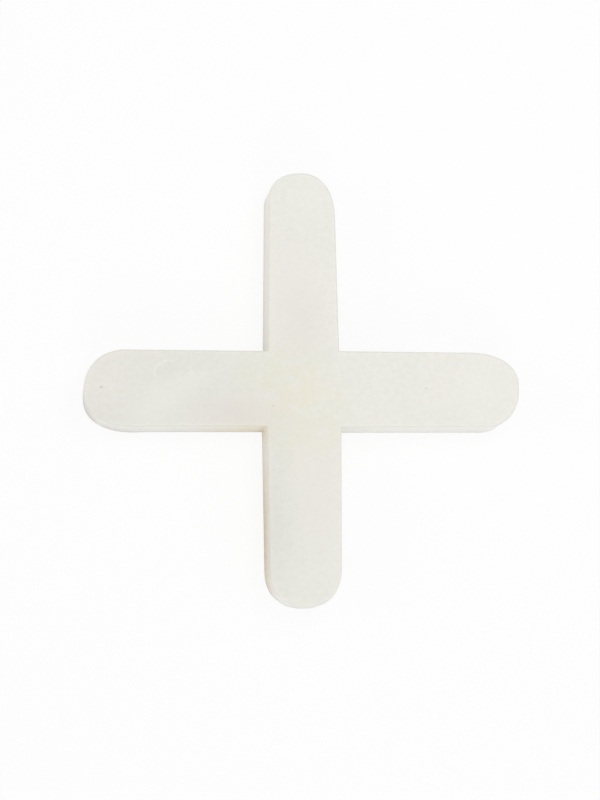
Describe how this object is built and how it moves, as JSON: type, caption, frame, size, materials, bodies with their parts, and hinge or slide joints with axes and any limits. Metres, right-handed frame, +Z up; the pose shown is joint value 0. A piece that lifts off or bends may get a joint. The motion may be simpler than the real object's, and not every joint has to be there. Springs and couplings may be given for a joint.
{
  "type": "tile spacer",
  "caption": "Flat moulded plastic cross with round-ended arms, laid where tile corners meet to keep the joints between the tiles even.",
  "frame": {"origin": "centre of the crossing, on the base that the spacer lies on", "axes": "+Z up through the thickness, +X along the right arm and +Y along the upper arm as the picture shows them"},
  "size_m": [0.0282, 0.0281, 0.003],
  "materials": {
    "natural_polyethylene": "uncoloured polyethylene as moulded, milky and slightly translucent, with a soft gloss"
  },
  "bodies": {
    "root": {"spacer_cross": "natural_polyethylene"}
  },
  "joints": []
}
